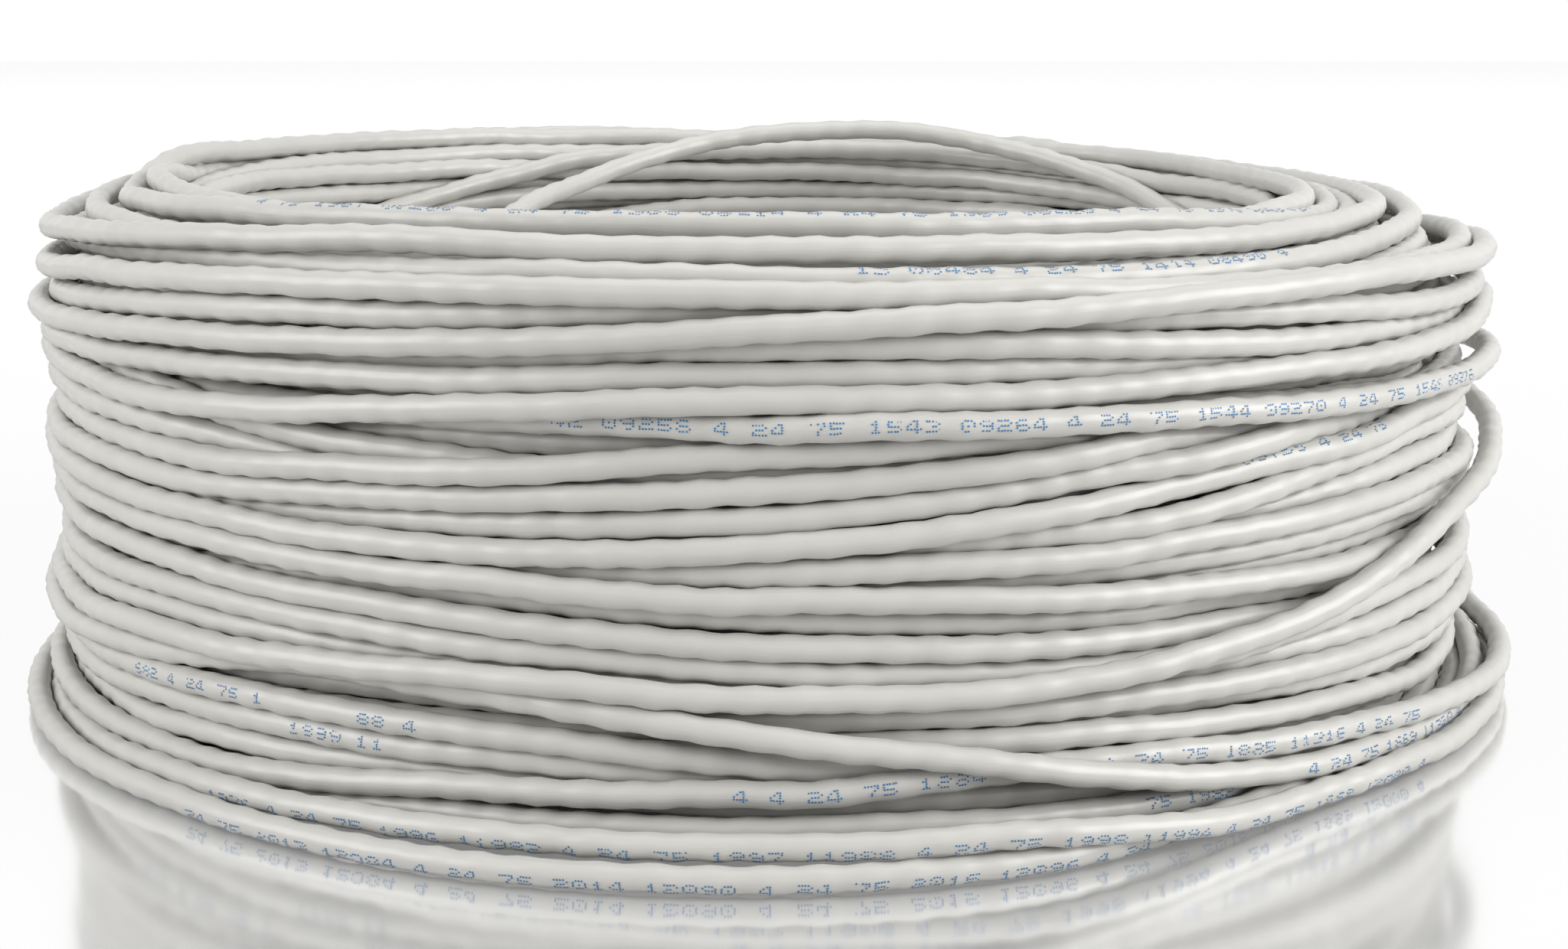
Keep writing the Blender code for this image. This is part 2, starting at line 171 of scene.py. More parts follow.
# The innermost turn stands across the eye, from the inner end to where it joins the wall again:
# azimuth, height, radius
ARCH = ((90, 85, 118.2), (104, 88.5, 118.6), (118, 95, 118.8), (131, 103, 117.8), (148, 111, 114.8),
        (165, 114.4, 109.3), (183, 112.4, 101.8), (200, 107, 92.8), (219, 100, 81.8),
        (248, 94.5, 67.8), (278, 91.5, 66.8), (302, 89.5, 90.8), (322, 87, 113.8), (338, 85, 121),
        (352, 84, 124.3))

# Turns against the wall of the eye that show across it: azimuth, height, radius
WALL_TURNS = (
    ((0, 84, 124.8), (40, 88, 119.6), (60, 92.5, 119.2), (80, 96.5, 119.6), (102, 99.5, 124.4),
     (127, 102, 123.8), (144, 105, 123), (165, 107.7, 123), (185, 107.2, 123), (198, 107, 122.6),
     (204, 105.4, 122.4), (216, 101.6, 122.2), (226, 97.6, 122.2), (240, 91, 122.8), (260, 82, 124)),
    ((-60, 76, 124.6), (0, 74, 124.8), (60, 88, 124.8), (113, 97.9, 125.5), (139, 100.7, 126),
     (155, 103, 127), (170, 103.8, 127.6), (190, 105.5, 128.3), (205, 107, 128.6),
     (245, 107.6, 128.6), (270, 105.5, 129)),
    ((-60, 101, 128), (0, 99.5, 126), (90, 94, 124.6), (126, 96.4, 124.2), (160, 100.2, 124),
     (185, 101.4, 124), (226, 103.9, 124.2), (246, 104.8, 124.4), (266, 106, 124.8)),
    ((-60, 103, 126), (-30, 99, 125), (0, 94.4, 124.8), (90, 90.5, 125.5), (126, 94.5, 125.8),
     (155, 96.3, 126.4), (185, 96.1, 126.2), (209, 96.8, 125), (221, 95.1, 124.6), (245, 88, 124.4),
     (275, 80, 124.6)),
    ((-60, 78.5, 124.6), (0, 79, 124.8), (60, 84, 127), (126, 94, 130), (190, 99, 130.5),
     (208, 99, 128.5), (230, 98.9, 124.8), (247, 99.7, 124.6), (261, 101, 124.6)),
    ((-60, 97, 124.6), (0, 89.5, 124.8), (90, 88.6, 124.6), (138, 92, 124.3), (170, 92.1, 124.2),
     (195, 91.2, 124.3)),
)

WALL = 124.4  # radius of the wall of the eye
COLUMN_TURNS = 19  # turns in one column
FOOT_RADIUS = 125.2  # the lower part of the eye's wall
FOOT_TOP = 69.5  # height of its highest turn
FOOT_FALL = 2.4  # how far one of its turns falls in half a round
LOWEST = 2.6  # height of a column's lowest turn

# The buried columns behind the eye's wall: radius, height of the top turn
BURIED_COLUMNS = ((130.3, 103.0), (135.4, 101.0), (140.4, 99.5), (145.4, 99.0))

SEEN_WALL = (95, 270)  # azimuths between which the eye's wall shows over the front rim
HOLD_WALL = 0.25  # how firmly the turns of the wall are held elsewhere
SEEN_RIM = 80  # azimuth up to which the turns on the rim are held, on either side
HOLD_RIM = 0.35  # how firmly they are held elsewhere


def winding_targets():
    """Knots along the whole cable: azimuth summed over the turns, height, radius, hold 0 to 1."""
    knots = []
    names = []
    for azimuth, height, radius in ARCH:
        knots.append((azimuth, height, radius, 1.0))
    names.append("arch")
    turn = 1
    for wall in WALL_TURNS:
        for azimuth, height, radius in wall:
            seen = SEEN_WALL[0] <= azimuth <= SEEN_WALL[1]
            hold = 1.0 if seen or turn == 1 else HOLD_WALL
            knots.append((360 * turn + azimuth, height, radius, hold))
        names.append("wall_%d" % turn)
        turn += 1
    rest = COLUMN_TURNS - len(WALL_TURNS)
    for i in range(rest):
        height = FOOT_TOP - (FOOT_TOP - LOWEST) * i / (rest - 1)
        for azimuth in (-120, 0, 120):
            knots.append((360 * turn + azimuth, height - FOOT_FALL * azimuth / 180, FOOT_RADIUS, 0.0))
        names.append("column_1_%d" % i)
        turn += 1
    for column, (radius, top) in enumerate(BURIED_COLUMNS, 2):
        ranks = list(range(COLUMN_TURNS))  # rank 0 is the lowest
        if column == 3:
            ranks.reverse()  # wound downwards
        if column == 5:
            ranks = ranks[::-1][::2] + ranks[1::2]  # every other turn down, the rest on the way up
        for rank in ranks:
            height = LOWEST + (top - LOWEST) * rank / (COLUMN_TURNS - 1)
            knots.append((360 * turn, height, radius, 0.0))
            names.append("column_%d_%d" % (column, rank))
            turn += 1
    for name, points in RIM_TURNS:
        for azimuth, height, radius in points:
            seen = -SEEN_RIM <= azimuth <= SEEN_RIM
            hold = 1.0 if seen or name == "rim_1" else HOLD_RIM
            knots.append((360 * turn + azimuth, height, radius, hold))
        names.append(name)
        turn += 1
    for name, heights, radii in OUTER_TURNS:
        points = list(zip(FRONT, heights, radii)) + list(SIDE_KNOTS.get(name, ()))
        for azimuth, height, radius in points:
            knots.append((360 * turn + azimuth, height, radius, 1.0))
        names.append(name)
        turn += 1
    return sorted(knots), names


def smooth(values, width):
    """Gaussian average over stations, holding the ends."""
    reach = int(3 * width) + 1
    kernel = np.exp(-0.5 * (np.arange(-reach, reach + 1) / width) ** 2)
    kernel /= kernel.sum()
    padded = np.concatenate([
        2 * values[0] - values[reach:0:-1], values, 2 * values[-1] - values[-2:-reach - 2:-1]])
    return np.convolve(padded, kernel, "valid")


def wander(count, width, seed):
    """A slow random wander with a spread of one."""
    rng = np.random.default_rng(seed)
    noise = smooth(rng.standard_normal(count), width)
    return noise / noise.std()


def near_pairs(radius, height, table, reach):
    """Pairs of stations at the same azimuth whose cables are within reach of each other."""
    r = np.where(table >= 0, radius[table], 1e6 + np.arange(table.shape[1]) * 100.0)
    z = np.where(table >= 0, height[table], 0.0)
    gap = (r[:, :, None] - r[:, None, :]) ** 2 + (z[:, :, None] - z[:, None, :]) ** 2
    upper = np.triu(np.ones(gap.shape[1:], bool), 1)
    at, first, second = np.nonzero((gap < reach * reach) & upper)
    return table[at, first], table[at, second]


def bend(u):
    """How sharply a run of stations bends, as its fourth difference."""
    out = np.zeros_like(u)
    out[2:-2] = (u[:-4] - 4 * u[1:-3] + 6 * u[2:-2] - 4 * u[3:-1] + u[4:]) / 6
    return out


ROUNDS = 900  # rounds of settling
LATE = 0.75  # share of the rounds after which the turns stop sinking and only make room
LOOK_AGAIN = 8  # rounds between two searches for turns that are near each other
NEAR = CABLE + 1.6  # how near, mm
CONTACT = CABLE * 0.99  # turns are pushed apart until they are this far from each other, mm
PUSH = 0.45  # share of an overlap that one push takes away
PUSH_HARDER = 1.6  # pushes overshoot by this much, so that packed turns part sooner
SINK = 0.006  # how far a loose turn sinks in one round, mm
SHAKE = 0.05  # unevenness that every turn starts with, mm
CORNERS = 1.6  # spread over which the knots' corners are rounded, in stations
HELD_TO = 80  # azimuth up to which the outer turns are held, on either side
LET_GO = 30  # degrees over which they are let go beyond it
WANDER_HEIGHT = (1.6, 1.4)  # how far a loose turn wanders up and down, and how much more an outer one, mm
WANDER_RADIUS = (0.7, 0.9)  # the same inwards and outwards, mm


def settle():
    """Lets every turn find its place: held where it shows, loose elsewhere, never inside another."""
    knots, names = winding_targets()
    turns = len(names) - 1
    count = int(round((360 * turns + LAST - START) / STEP)) + 1
    azimuth = START + STEP * np.arange(count)
    at = np.array([k[0] for k in knots], float)
    height = np.interp(azimuth, at, [k[1] for k in knots])
    radius = np.interp(azimuth, at, [k[2] for k in knots])
    hold = np.interp(azimuth, at, [k[3] for k in knots])
    # From 0 on the rim to 1 on the outer turns, over a sixth of a turn at the back
    outer_start = 360 * (turns - len(OUTER_TURNS) + 1) - 130
    outer = np.clip((azimuth - outer_start) / 60, 0, 1)
    # The outer turns are let go by degrees at the back, except the side loop and the last length
    around = (azimuth + 180) % 360 - 180
    back = outer * np.clip((np.abs(around) - HELD_TO) / LET_GO, 0, 1)
    last_length = azimuth > 360 * turns + 60
    loop = names.index("side_loop")
    on_loop = (azimuth > 360 * loop + 60) & (azimuth < 360 * loop + 119)
    hold = np.where(last_length | on_loop, hold, hold * (1 - back))
    height = smooth(height, CORNERS)
    radius = smooth(radius, CORNERS)
    slack = 1 - hold
    up_down = slack * (WANDER_HEIGHT[0] + WANDER_HEIGHT[1] * outer)
    in_out = slack * (WANDER_RADIUS[0] + WANDER_RADIUS[1] * outer)
    height = height + up_down * wander(count, width=11, seed=3)
    radius = radius + in_out * wander(count, width=9, seed=4)
    height = np.maximum(height, HALF)
    want_r, want_z = radius, height

    # The stations of all turns that lie at the same azimuth, one row for each azimuth
    first = int(round(START / STEP))
    station = (first + np.arange(count)) % STATIONS
    rows = [np.nonzero(station == s)[0] for s in range(STATIONS)]
    widest = max(len(row) for row in rows)
    table = np.full((STATIONS, widest), -1)
    for s, row in enumerate(rows):
        table[s, : len(row)] = row

    light = 1 / (1 + 14 * hold ** 2)  # how readily a turn gives way
    pull = 0.004 + 0.10 * hold ** 2  # how strongly its place draws it
    rng = np.random.default_rng(5)
    r = radius + SHAKE * rng.standard_normal(count)
    z = height + SHAKE * rng.standard_normal(count)
    for moment in range(ROUNDS):
        if moment % LOOK_AGAIN == 0:
            a, b = near_pairs(r, z, table, NEAR)
            share = light[a] / (light[a] + light[b])
        late = moment > ROUNDS * LATE
        ease, stiff, pushes = (0.25, 0.15, 2) if late else (1.0, 0.45, 1)
        r = r + ease * pull * (want_r - r)
        z = z + ease * pull * (want_z - z)
        if not late:
            z = z - SINK * slack
        r = r - stiff * bend(r - want_r)
        z = z - stiff * bend(z - want_z)
        for _ in range(pushes):
            dr, dz = r[b] - r[a], z[b] - z[a]
            gap = np.sqrt(dr * dr + dz * dz) + 1e-9
            push = np.maximum(0, CONTACT - gap) * PUSH
            pr, pz = push * dr / gap, push * dz / gap
            r = (r + np.bincount(b, pr * (1 - share), count) * PUSH_HARDER
                 - np.bincount(a, pr * share, count) * PUSH_HARDER)
            z = (z + np.bincount(b, pz * (1 - share), count) * PUSH_HARDER
                 - np.bincount(a, pz * share, count) * PUSH_HARDER)
        # Nothing sinks into the floor, and loose turns stay out of the eye
        z = np.maximum(z, HALF)
        r = np.where(hold < 0.5, np.maximum(r, WALL), r)
    return r, z, names


COIL_RADIUS, COIL_HEIGHT, TURN_NAMES = settle()

# ---------------------------------------------------------------- the cable's surface


MEASURED_EVERY = 0.25  # degrees between the places at which the cable's length is measured


def resample(begin, end, spacing):
    """Points along the cable between two azimuths: places in metres, lengths, azimuths."""
    azimuth = np.append(np.arange(begin, end, MEASURED_EVERY), end)

    def curve(values):
        """A smooth curve through the stations."""
        i = np.clip(((azimuth - START) / STEP).astype(int), 1, len(values) - 3)
        t = (azimuth - START) / STEP - i
        p0, p1, p2, p3 = values[i - 1], values[i], values[i + 1], values[i + 2]
        return 0.5 * (2 * p1 + (p2 - p0) * t + (2 * p0 - 5 * p1 + 4 * p2 - p3) * t * t
                      + (3 * p1 - p0 - 3 * p2 + p3) * t ** 3)

    r, z = curve(COIL_RADIUS), curve(COIL_HEIGHT)
    a = np.radians(azimuth)
    points = np.stack([AXIS.x + r * np.sin(a) * MM, AXIS.y - r * np.cos(a) * MM, z * MM], 1)
    lengths = np.concatenate([[0], np.cumsum(np.linalg.norm(np.diff(points, axis=0), axis=1))])
    count = max(int(round(lengths[-1] / (spacing * MM))), 4) + 1
    at = np.linspace(0, lengths[-1], count)
    points = np.stack([np.interp(at, lengths, points[:, i]) for i in range(3)], 1)
    return points, at, np.interp(at, lengths, azimuth)


def sideways(points):
    """Directions across the cable at each point: away from the coil's axis, and upwards."""
    forward = np.gradient(points, axis=0)
    forward /= np.linalg.norm(forward, axis=1)[:, None]
    out = np.cross(forward, (0.0, 0.0, 1.0))
    out /= np.linalg.norm(out, axis=1)[:, None]
    return out, np.cross(out, forward)


PAIR_LAYS = (15.0, 16.6, 18.4, 20.5)  # length of one twist of each pair, mm
CABLE_LAY = 118.0  # length in which the four pairs go round each other, mm
LUMP = 0.33  # depth of the jacket's relief over the pairs, mm
LUMP_LEVEL = -0.95  # level of the jacket away from the pairs, in lumps
LUMP_WIDTH = 1.6  # how closely a pair's relief keeps to its side of the jacket
PAIR_PHASE = 1.7  # how far each pair's twist is ahead of the last, radians
KINK = 0.16  # how far slight bends carry the cable off its run, mm
KINK_LENGTH = 7.0  # spread of such a bend along the cable, mm
KINK_FREE = 8  # points at either end of a length over which the bends die away
SEEN_SPACING = 2.1  # between rings of a length that shows, mm
BURIED_SPACING = 5.0  # between rings of a buried length, mm
SEEN_SIDES = 12
BURIED_SIDES = 8


def jacket_relief(along, angle):
    """How far the jacket stands out over the twisted pairs inside it, mm."""
    relief = LUMP_LEVEL
    for pair, lay in enumerate(PAIR_LAYS):
        centre = 2 * np.pi * along / CABLE_LAY + pair * np.pi / 2
        near = np.exp(LUMP_WIDTH * (np.cos(angle - centre) - 1))
        relief = relief + near * (0.5 + 0.5 * np.cos(4 * np.pi * along / lay + PAIR_PHASE * pair))
    return LUMP * relief


def run(begin, end, fine, offset):
    """The middle of one length of cable, with all that its surface and its print follow."""
    spacing = SEEN_SPACING if fine else BURIED_SPACING
    points, at, turned = resample(begin, end, spacing)
    out, up = sideways(points)
    if fine:
        ends = np.minimum(np.arange(len(points)), np.arange(len(points))[::-1])
        keep = np.clip(ends / KINK_FREE, 0, 1)[:, None] * KINK * MM
        sway = wander(len(points), KINK_LENGTH / spacing, int(begin))[:, None]
        lift = wander(len(points), KINK_LENGTH / spacing, int(begin) + 1)[:, None]
        points = points + keep * (out * sway + up * lift)
        points[:, 2] = np.maximum(points[:, 2], HALF * MM)
        out, up = sideways(points)
    return {"points": points, "at": at, "turned": turned, "out": out, "up": up, "fine": fine,
            "offset": offset}


def mesh_of(name, verts, polygons, sizes, material):
    """A mesh object from corners in a row and the number of corners of each face."""
    mesh = bpy.data.meshes.new(name)
    mesh.vertices.add(len(verts))
    mesh.vertices.foreach_set("co", np.ascontiguousarray(verts, np.float32).ravel())
    mesh.loops.add(len(polygons))
    mesh.loops.foreach_set("vertex_index", polygons.astype(np.int32))
    mesh.polygons.add(len(sizes))
    mesh.polygons.foreach_set("loop_start", (np.cumsum(sizes) - sizes).astype(np.int32))
    mesh.update(calc_edges=True)
    mesh.polygons.foreach_set("use_smooth", sizes == 4)  # the triangles that close the ends are flat
    mesh.materials.append(material)
    piece = bpy.data.objects.new(name, mesh)
    bpy.context.scene.collection.objects.link(piece)
    return piece


def tube(name, line):
    """One length of cable as a closed tube, with its length and girth as a UV map."""
    points, count = line["points"], len(line["points"])
    sides = SEEN_SIDES if line["fine"] else BURIED_SIDES
    angle = 2 * np.pi * np.arange(sides) / sides
    along = (line["at"] / MM + line["offset"])[:, None]
    size = np.full((count, sides), HALF * MM)
    if line["fine"]:
        size = (HALF + jacket_relief(along, angle[None, :])) * MM
    ring = (points[:, None, :] + line["out"][:, None, :] * (size * np.cos(angle))[:, :, None]
            + line["up"][:, None, :] * (size * np.sin(angle))[:, :, None])
    verts = np.concatenate([ring.reshape(-1, 3), points[:1], points[-1:]])
    i = np.arange(count - 1)[:, None] * sides
    j = np.arange(sides)[None, :]
    k = (j + 1) % sides
    quads = np.stack([i + j, i + k, i + sides + k, i + sides + j], 2)
    j, k = j[0], k[0]
    last = (count - 1) * sides
    near = np.stack([np.full(sides, count * sides), k, j], 1)
    far = np.stack([np.full(sides, count * sides + 1), last + j, last + k], 1)
    polygons = np.concatenate([quads.ravel(), near.ravel(), far.ravel()])
    sizes = np.concatenate([np.full(quads.shape[0] * sides, 4), np.full(2 * sides, 3)])
    piece = mesh_of(name, verts, polygons, sizes, JACKET)
    uv = np.zeros((len(polygons), 2), np.float32)
    ends = np.array([[0, 0], [0, 1], [1, 1], [1, 0]])
    ring_at = line["at"][np.arange(count - 1)[:, None, None] + ends[None, None, :, 0]]
    ring_round = (np.arange(sides)[None, :, None] + ends[None, None, :, 1]) / sides
    uv[: quads.size, 0] = np.broadcast_to(ring_at, quads.shape).ravel() + line["offset"] * MM
    uv[: quads.size, 1] = np.broadcast_to(ring_round, quads.shape).ravel()
    piece.data.uv_layers.new(name="cable").data.foreach_set("uv", uv.ravel())
    return piece


# ---------------------------------------------------------------- materials


def add(nodes, kind, **values):
    """A new node with its settings."""
    node = nodes.new(kind)
    for key, value in values.items():
        setattr(node, key, value)
    return node


def principled(name, colour, roughness):
    """A new material and its shader."""
    material = bpy.data.materials.new(name)
    material.use_nodes = True
    shader = material.node_tree.nodes["Principled BSDF"]
    shader.inputs["Base Color"].default_value = (*colour, 1)
    shader.inputs["Roughness"].default_value = roughness
    return material, shader


def make_plastic_group():
    """Tone, roughness and relief of extruded plastic: clouding, handling marks, drawn streaks."""
    group = bpy.data.node_groups.new("extruded_plastic", "ShaderNodeTree")
    face = group.interface
    for name, kind, side in (
        ("Colour", "NodeSocketColor", "INPUT"), ("Clouding", "NodeSocketFloat", "INPUT"),
        ("Gloss", "NodeSocketFloat", "INPUT"), ("Streaks", "NodeSocketFloat", "INPUT"),
        ("Colour", "NodeSocketColor", "OUTPUT"), ("Roughness", "NodeSocketFloat", "OUTPUT"),
        ("Relief", "NodeSocketFloat", "OUTPUT")):
        face.new_socket(name=name, socket_type=kind, in_out=side)
    nodes, link = group.nodes, group.links.new
    given = add(nodes, "NodeGroupInput")
    result = add(nodes, "NodeGroupOutput")
    place = add(nodes, "ShaderNodeTexCoord")
    cloud = add(nodes, "ShaderNodeTexNoise")
    cloud.inputs["Scale"].default_value = 60
    cloud.inputs["Detail"].default_value = 3
    link(place.outputs["Object"], cloud.inputs["Vector"])
    tone = add(nodes, "ShaderNodeMapRange")
    tone.inputs["From Min"].default_value = 0.3
    tone.inputs["From Max"].default_value = 0.7
    tone.inputs["To Max"].default_value = 1.0
    link(cloud.outputs["Fac"], tone.inputs["Value"])
    drop = add(nodes, "ShaderNodeMath", operation="SUBTRACT")
    drop.inputs[0].default_value = 1.0
    link(given.outputs["Clouding"], drop.inputs[1])
    link(drop.outputs[0], tone.inputs["To Min"])
    shade = add(nodes, "ShaderNodeVectorMath", operation="SCALE")
    link(given.outputs["Colour"], shade.inputs[0])
    link(tone.outputs[0], shade.inputs["Scale"])
    link(shade.outputs["Vector"], result.inputs["Colour"])
    marks = add(nodes, "ShaderNodeTexNoise")
    marks.inputs["Scale"].default_value = 420
    marks.inputs["Detail"].default_value = 4
    link(place.outputs["Object"], marks.inputs["Vector"])
    rough = add(nodes, "ShaderNodeMath", operation="MULTIPLY_ADD")
    rough.inputs[1].default_value = 0.22
    link(marks.outputs["Fac"], rough.inputs[0])
    link(given.outputs["Gloss"], rough.inputs[2])
    link(rough.outputs[0], result.inputs["Roughness"])
    stretch = add(nodes, "ShaderNodeMapping")
    stretch.inputs["Scale"].default_value = (60, 14, 1)
    link(place.outputs["UV"], stretch.inputs["Vector"])
    drawn = add(nodes, "ShaderNodeTexNoise")
    drawn.inputs["Scale"].default_value = 1.0
    drawn.inputs["Detail"].default_value = 2
    link(stretch.outputs["Vector"], drawn.inputs["Vector"])
    relief = add(nodes, "ShaderNodeMath", operation="MULTIPLY_ADD")
    link(drawn.outputs["Fac"], relief.inputs[0])
    link(given.outputs["Streaks"], relief.inputs[1])
    link(marks.outputs["Fac"], relief.inputs[2])
    link(relief.outputs[0], result.inputs["Relief"])
    return group


PLASTIC = make_plastic_group()


def plastic(name, colour, clouding=0.06, gloss=0.2, streaks=2.0, depth=0.00005):
    """Extruded plastic: jacket, insulation and ink differ in their values only."""
    material, shader = principled(name, colour, 0.4)
    nodes, link = material.node_tree.nodes, material.node_tree.links.new
    group = add(nodes, "ShaderNodeGroup", node_tree=PLASTIC)
    group.inputs["Colour"].default_value = (*colour, 1)
    group.inputs["Clouding"].default_value = clouding
    group.inputs["Gloss"].default_value = gloss
    group.inputs["Streaks"].default_value = streaks
    bump = add(nodes, "ShaderNodeBump")
    bump.inputs["Strength"].default_value = 0.6
    bump.inputs["Distance"].default_value = depth
    link(group.outputs["Colour"], shader.inputs["Base Color"])
    link(group.outputs["Roughness"], shader.inputs["Roughness"])
    link(group.outputs["Relief"], bump.inputs["Height"])
    link(bump.outputs["Normal"], shader.inputs["Normal"])
    return material


def flecked(name, colour):
    """White insulation carrying flecks of its partner's colour."""
    material = plastic(name, (0.8, 0.8, 0.78), clouding=0.08, gloss=0.16)
    nodes, link = material.node_tree.nodes, material.node_tree.links.new
    place = add(nodes, "ShaderNodeTexCoord")
    flecks = add(nodes, "ShaderNodeTexNoise")
    flecks.inputs["Scale"].default_value = 1400
    link(place.outputs["Object"], flecks.inputs["Vector"])
    edge = add(nodes, "ShaderNodeMapRange")
    edge.inputs["From Min"].default_value = 0.56
    edge.inputs["From Max"].default_value = 0.6
    link(flecks.outputs["Fac"], edge.inputs["Value"])
    mix = add(nodes, "ShaderNodeMix", data_type="RGBA")
    mix.inputs["B"].default_value = (*colour, 1)
    link(edge.outputs[0], mix.inputs["Factor"])
    group = nodes["Group"]
    shader = nodes["Principled BSDF"]
    link(group.outputs["Colour"], mix.inputs["A"])
    link(mix.outputs["Result"], shader.inputs["Base Color"])
    return material


def drawn_copper():
    """Bare copper, freshly cut: bright, with a little tarnish."""
    material, shader = principled("copper", (0.72, 0.36, 0.2), 0.25)
    shader.inputs["Metallic"].default_value = 1.0
    nodes, link = material.node_tree.nodes, material.node_tree.links.new
    place = add(nodes, "ShaderNodeTexCoord")
    tarnish = add(nodes, "ShaderNodeTexNoise")
    tarnish.inputs["Scale"].default_value = 900
    link(place.outputs["Object"], tarnish.inputs["Vector"])
    tone = add(nodes, "ShaderNodeValToRGB")
    tone.color_ramp.elements[0].color = (0.55, 0.25, 0.13, 1)
    tone.color_ramp.elements[1].color = (0.80, 0.42, 0.25, 1)
    link(tarnish.outputs["Fac"], tone.inputs["Fac"])
    link(tone.outputs["Color"], shader.inputs["Base Color"])
    rough = add(nodes, "ShaderNodeMapRange")
    rough.inputs["To Min"].default_value = 0.16
    rough.inputs["To Max"].default_value = 0.4
    link(tarnish.outputs["Fac"], rough.inputs["Value"])
    link(rough.outputs[0], shader.inputs["Roughness"])
    return material


def spun_fibre():
    """The rip cord: undyed fibres spun into a thread."""
    material, shader = principled("rip_cord", (0.8, 0.76, 0.62), 0.85)
    nodes, link = material.node_tree.nodes, material.node_tree.links.new
    place = add(nodes, "ShaderNodeTexCoord")
    spun = add(nodes, "ShaderNodeTexWave", bands_direction="DIAGONAL")
    spun.inputs["Scale"].default_value = 900
    spun.inputs["Distortion"].default_value = 2.0
    link(place.outputs["Object"], spun.inputs["Vector"])
    tone = add(nodes, "ShaderNodeValToRGB")
    tone.color_ramp.elements[0].color = (0.62, 0.57, 0.43, 1)
    tone.color_ramp.elements[1].color = (0.84, 0.80, 0.67, 1)
    link(spun.outputs["Fac"], tone.inputs["Fac"])
    link(tone.outputs["Color"], shader.inputs["Base Color"])
    bump = add(nodes, "ShaderNodeBump")
    bump.inputs["Distance"].default_value = 0.00005
    link(spun.outputs["Fac"], bump.inputs["Height"])
    link(bump.outputs["Normal"], shader.inputs["Normal"])
    return material


JACKET = plastic("jacket", (0.505, 0.498, 0.472), gloss=0.27)
INK = plastic("ink", (0.018, 0.185, 0.43), clouding=0.35, gloss=0.4, streaks=0.0, depth=0.00002)
INSULATION = {"blue": (0.05, 0.18, 0.55), "orange": (0.85, 0.32, 0.05), "green": (0.06, 0.38, 0.14),
              "brown": (0.26, 0.12, 0.05)}


def dress_cut_ends():
    """Gives what shows at the two cut ends of the cable its finish."""
    finishes = {"jacket": JACKET, "rip_cord": spun_fibre(), "conductor": drawn_copper()}
    for name, colour in INSULATION.items():
        finishes["white_" + name + "_insulation"] = flecked("white_" + name, colour)
        finishes[name + "_insulation"] = plastic(name, colour, clouding=0.1, gloss=0.16)
    for node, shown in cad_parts.items():
        if "_end_" in node:
            finish = next(m for ending, m in finishes.items() if node.endswith(ending))
            for slot in shown.material_slots:
                slot.material = finish


dress_cut_ends()

# ---------------------------------------------------------------- the print

DOT_PITCH = 0.53  # between dots along the cable, mm
DOT_ROW = 0.46  # between rows round the cable, mm
DOT = 0.38  # diameter of a dot, mm
DOT_SIDES = 7
DOT_PROUD = 0.03  # how far the ink stands off the jacket, mm
DOT_DRIFT = 0.03  # unevenness of the dots along the cable, mm
DOT_TWIST = 0.008  # unevenness of the dots round the cable, radians
DOTS_MISSED = 0.06  # share of dots that the printer missed
DIGIT_DOTS = 5  # columns of dots in a digit
MIDDLE_ROW = 2
DIGIT_PITCH = 6  # columns of dots from one digit to the next
MARK_EVERY = 60.0  # the print repeats at this spacing with the next centimetre count, mm
MARK = "%05d 4 24 75 %04d"  # plain numbers only
MARK_COUNT = 9999  # the second number starts again here

# The digits 0 to 9, each in five rows of dots
DIGITS = (
    "01110 10001 10101 10001 01110",
    "00100 01100 00100 00100 01110",
    "11110 00001 01110 10000 11111",
    "11110 00001 00110 00001 11110",
    "00110 01010 10010 11111 00010",
    "11111 10000 11110 00001 11110",
    "01110 10000 11110 10001 01110",
    "11111 00001 00010 00100 00100",
    "01110 10001 01110 10001 01110",
    "01110 10001 01111 00001 01110",
)

# Where the count shows: turn, from azimuth, to azimuth, how far round the cable in degrees
PRINTED = (
    ("rim_2", -44, 64, 78),
    ("rim_5", 6, 44, 62),
    ("printed", -13, 62, 8),
    ("front_15", 33, 50, 55),
    ("front_23", -50, -34, 6),
    ("front_23", -27, -21, 4),
    ("third_23", -33, -24, 10),
    ("second_23", 15.5, 21.5, 48),
    ("front_24", -2, 15, 6),
    ("front_24", 21, 52, 2),
    ("front_25", 26, 36, 20),
    ("crossing", 38, 62, 4),
    ("second_turn", -38, 52, -24),
    ("base_turn", -38, 40, -26),
)


